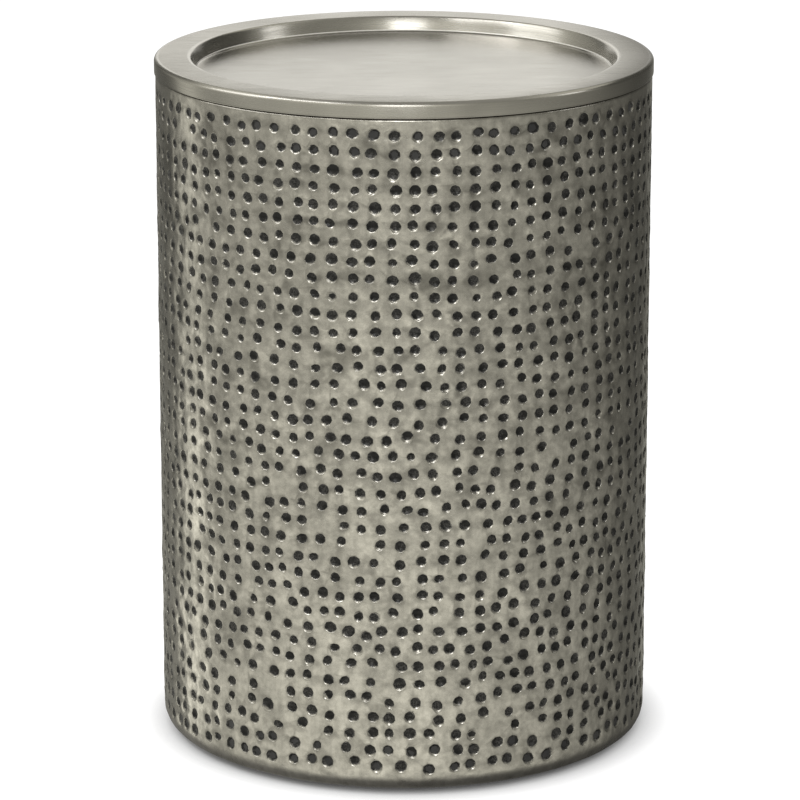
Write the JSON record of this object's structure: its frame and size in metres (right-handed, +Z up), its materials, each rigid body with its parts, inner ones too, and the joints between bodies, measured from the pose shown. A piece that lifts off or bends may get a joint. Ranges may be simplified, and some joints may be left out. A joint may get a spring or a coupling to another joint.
{
  "type": "drum side table",
  "caption": "Straight round metal drum with a hand-punched dimpled wall and a recessed tray top that lifts off to reach the storage inside.",
  "frame": {"origin": "on the drum's axis, at the floor that the feet stand on", "axes": "+Z up along the drum's axis; the drum is round, and the feet stand on the diagonals between X and Y"},
  "size_m": [0.33, 0.33, 0.46],
  "materials": {
    "antique_nickel": "hand-punched antique nickel, blackened in the dimples",
    "tray_nickel": "satin brushed nickel",
    "inside_black": "black, low sheen",
    "hardboard": "bare hardboard",
    "clear_bumper": "clear, soft",
    "foot_rubber": "moulded rubber",
    "zinc_plate": "bright zinc plate"
  },
  "bodies": {
    "drum": {"drum_wall": "antique_nickel", "mouth_ring": "antique_nickel", "base_ring": "antique_nickel", "mouth_hoop": "inside_black", "base_pan": "inside_black", "foot_bumpers": "foot_rubber", "foot_washers": "zinc_plate", "foot_screws": "zinc_plate", "foot_nuts": "zinc_plate"},
    "tray": {"tray_top": "tray_nickel", "tray_ring": "tray_nickel", "tray_backing": "hardboard", "tray_bumpers": "clear_bumper"}
  },
  "joints": [
    {"name": "tray_lift", "type": "slide", "parent": "drum", "child": "tray", "axis": [0, 0, 1], "range_m": [0, 0.15]}
  ]
}
